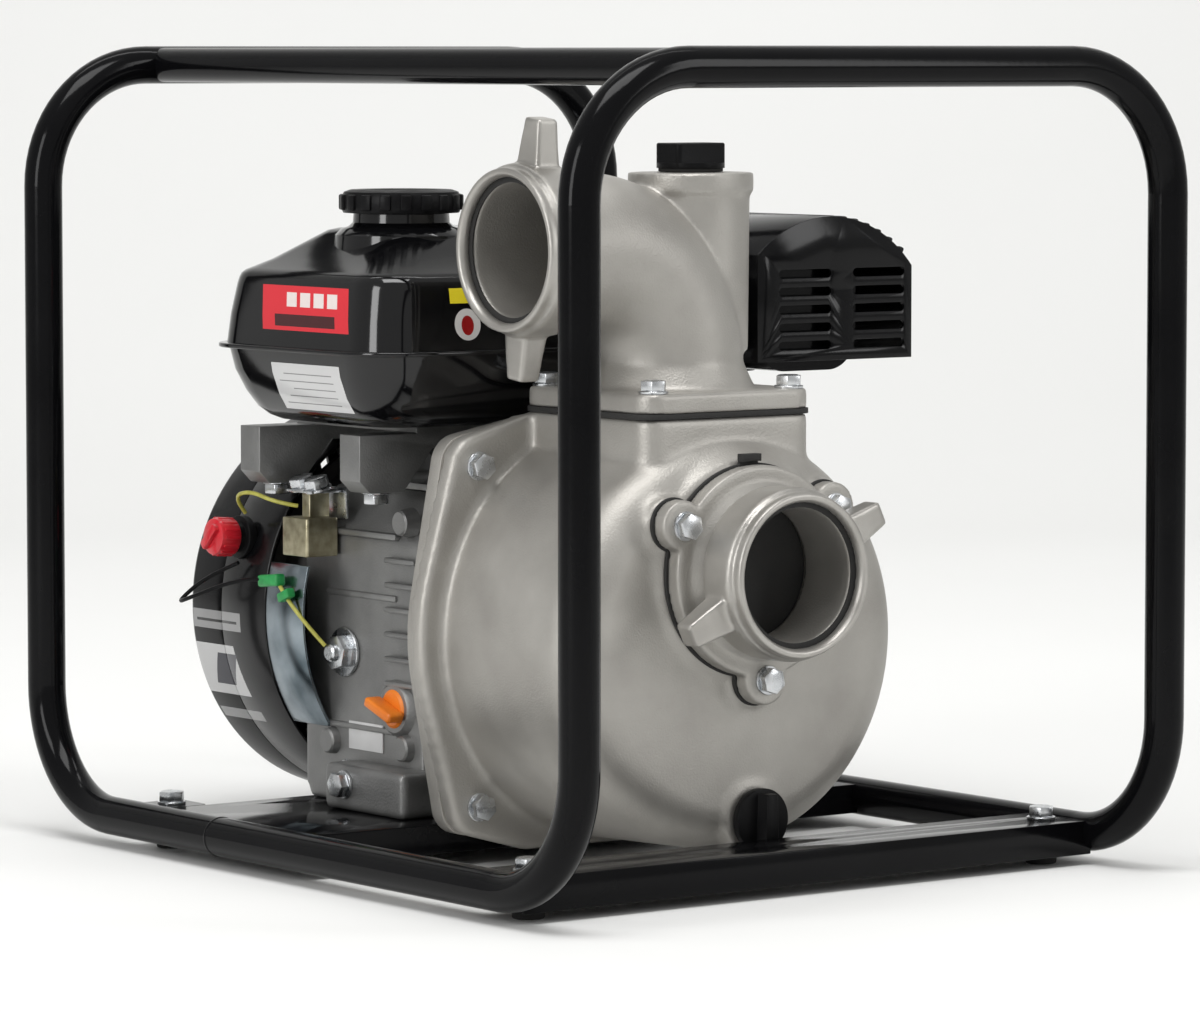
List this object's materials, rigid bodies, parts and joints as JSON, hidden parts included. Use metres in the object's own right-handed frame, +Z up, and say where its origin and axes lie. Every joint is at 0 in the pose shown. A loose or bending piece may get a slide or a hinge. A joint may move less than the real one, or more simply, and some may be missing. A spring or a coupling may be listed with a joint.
{
  "type": "portable fire pump",
  "caption": "Portable engine-driven self-priming centrifugal pump in a carrying frame of bent tube, with threaded suction and discharge ports.",
  "frame": {"origin": "middle of the object's box, on the floor under the rubber feet", "axes": "+Z up, -Y the pump's suction side, +Y the engine's starter side, -X the discharge side"},
  "size_m": [0.424, 0.545, 0.458],
  "materials": {
    "frame_black": "gloss black baked enamel",
    "black_rubber": "matt black rubber",
    "zinc_steel": "bright zinc plate",
    "cast_aluminium": "blasted sand casting, warm grey",
    "cast_iron": "as cast",
    "ground_steel": "ground",
    "engine_aluminium": "die cast, grey",
    "black_paint": "gloss black paint on pressed steel",
    "black_plastic": "moulded, satin",
    "rope": "braided cord",
    "red_plastic": "moulded, gloss",
    "orange_plastic": "moulded, satin",
    "sensor_brass": "plated, dull",
    "wire_sheath": "extruded sheath"
  },
  "bodies": {
    "unit": {"air_cleaner_base": "black_plastic", "air_cleaner_cover": "black_plastic", "bolts": "zinc_steel", "carburettor": "engine_aluminium", "control_mounts": "zinc_steel", "crank_bearings": "zinc_steel", "crankcase": "engine_aluminium", "crankcase_cover": "engine_aluminium", "cylinder_head": "engine_aluminium", "discharge_elbow": "cast_aluminium", "discharge_gasket": "black_rubber", "drain_plug_seal": "black_rubber", "engine_crossmember": "frame_black", "fan_shroud": "black_paint", "front_crossmember": "frame_black", "front_frame_hoop": "frame_black", "fuel_tank": "black_paint", "inner_volute": "cast_iron", "muffler": "black_paint", "muffler_guard": "black_paint", "oil_alert_unit": "sensor_brass", "pump_back_plate": "cast_aluminium", "pump_casing": "cast_aluminium", "rear_foot_tabs": "frame_black", "rear_frame_hoop": "frame_black", "recoil_cover": "black_paint", "rocker_cover": "black_paint", "rubber_feet": "black_rubber", "seal_rings": "black_rubber", "side_plate": "zinc_steel", "spark_plug": "zinc_steel", "spark_plug_cap": "black_rubber", "stop_switch": "black_plastic", "suction_flange": "cast_aluminium", "suction_gasket": "black_rubber", "tank_brackets": "engine_aluminium", "top_side_bars": "frame_black", "wiring": "wire_sheath"},
    "rotor": {"crankshaft": "ground_steel", "flywheel_fan": "cast_iron", "impeller": "cast_iron", "shaft_seal": "ground_steel"},
    "cam": {"camshaft": "ground_steel"},
    "piston_body": {"piston": "ground_steel"},
    "suction_nut": {"suction_coupling_nut": "cast_aluminium"},
    "discharge_nut": {"discharge_coupling_nut": "cast_aluminium"},
    "valve_flap": {"check_valve_flap": "black_rubber"},
    "priming_ring": {"priming_plug_seal": "black_rubber"},
    "priming_screw": {"priming_plug": "black_plastic"},
    "drain_screw": {"drain_plug": "black_plastic"},
    "pulley": {"recoil_pulley": "black_plastic"},
    "grip": {"starter_grip": "black_plastic", "starter_rope": "rope"},
    "filler_ring": {"fuel_cap_gasket": "black_rubber"},
    "filler_cap": {"fuel_cap": "black_plastic"},
    "throttle": {"throttle_lever": "zinc_steel"},
    "choke": {"choke_lever": "black_plastic"},
    "fuel_valve": {"fuel_valve_lever": "black_plastic"},
    "switch_knob": {"stop_switch_knob": "red_plastic"},
    "dipstick": {"oil_dipstick": "orange_plastic"}
  },
  "joints": [
    {"name": "crank_spin", "type": "hinge", "parent": "unit", "child": "rotor", "pos_m": [0, 0.05, 0.131], "axis": [0, 1, 0], "continuous": true},
    {"name": "cam_spin", "type": "hinge", "parent": "unit", "child": "cam", "pos_m": [-0.04, 0.09, 0.08], "axis": [0, 1, 0], "continuous": true},
    {"name": "piston_stroke", "type": "slide", "parent": "unit", "child": "piston_body", "axis": [0.9063, 0, 0.4226], "range_m": [-0.0225, 0.0315]},
    {"name": "suction_nut_turn", "type": "hinge", "parent": "unit", "child": "suction_nut", "pos_m": [0, -0.18, 0.172], "axis": [0, -1, 0], "range_deg": [0, 720]},
    {"name": "discharge_nut_turn", "type": "hinge", "parent": "unit", "child": "discharge_nut", "pos_m": [-0.1, -0.072, 0.347], "axis": [-1, 0, 0], "range_deg": [0, 720]},
    {"name": "check_valve_swing", "type": "hinge", "parent": "unit", "child": "valve_flap", "pos_m": [0, -0.1431, 0.208], "axis": [1, 0, 0], "range_deg": [0, 28]},
    {"name": "priming_ring_lift", "type": "slide", "parent": "unit", "child": "priming_ring", "axis": [0, 0, 1], "range_m": [0, 0.04]},
    {"name": "priming_plug_turn", "type": "hinge", "parent": "priming_ring", "child": "priming_screw", "pos_m": [0.016, -0.072, 0.39], "axis": [0, 0, 1], "range_deg": [0, 720]},
    {"name": "drain_plug_turn", "type": "hinge", "parent": "unit", "child": "drain_screw", "pos_m": [0.006, -0.15, 0.034], "axis": [0, -1, 0], "range_deg": [0, 720]},
    {"name": "starter_pull", "type": "slide", "parent": "unit", "child": "grip", "axis": [1, 0, 0], "range_m": [0, 0.5]},
    {"name": "pulley_turn", "type": "hinge", "parent": "unit", "child": "pulley", "pos_m": [0, 0.222, 0.131], "axis": [0, 1, 0], "range_deg": [0, 460]},
    {"name": "cap_ring_lift", "type": "slide", "parent": "unit", "child": "filler_ring", "axis": [0, 0, 1], "range_m": [0, 0.04]},
    {"name": "cap_turn", "type": "hinge", "parent": "filler_ring", "child": "filler_cap", "pos_m": [-0.08, 0.072, 0.37], "axis": [0, 0, 1], "range_deg": [0, 90]},
    {"name": "throttle_turn", "type": "hinge", "parent": "unit", "child": "throttle", "pos_m": [0.084, 0.176, 0.2415], "axis": [0, 0, 1], "range_deg": [-50, 0]},
    {"name": "choke_turn", "type": "hinge", "parent": "unit", "child": "choke", "pos_m": [0.1379, 0.138, 0.232], "axis": [1, 0, 0], "range_deg": [-60, 0]},
    {"name": "fuel_valve_turn", "type": "hinge", "parent": "unit", "child": "fuel_valve", "pos_m": [0.1384, 0.138, 0.217], "axis": [1, 0, 0], "range_deg": [0, 60]},
    {"name": "stop_switch_turn", "type": "hinge", "parent": "unit", "child": "switch_knob", "pos_m": [-0.108, 0.192, 0.173], "axis": [-0.9982, 0, 0.0599], "range_deg": [0, 45]},
    {"name": "dipstick_pull", "type": "slide", "parent": "unit", "child": "dipstick", "axis": [-1, 0, 0], "range_m": [0, 0.03]}
  ],
  "couplings": [
    {"joint": "cam_spin", "follows": "crank_spin", "ratio": -0.5},
    {"joint": "pulley_turn", "follows": "starter_pull", "rad_per_m": 16.026}
  ]
}
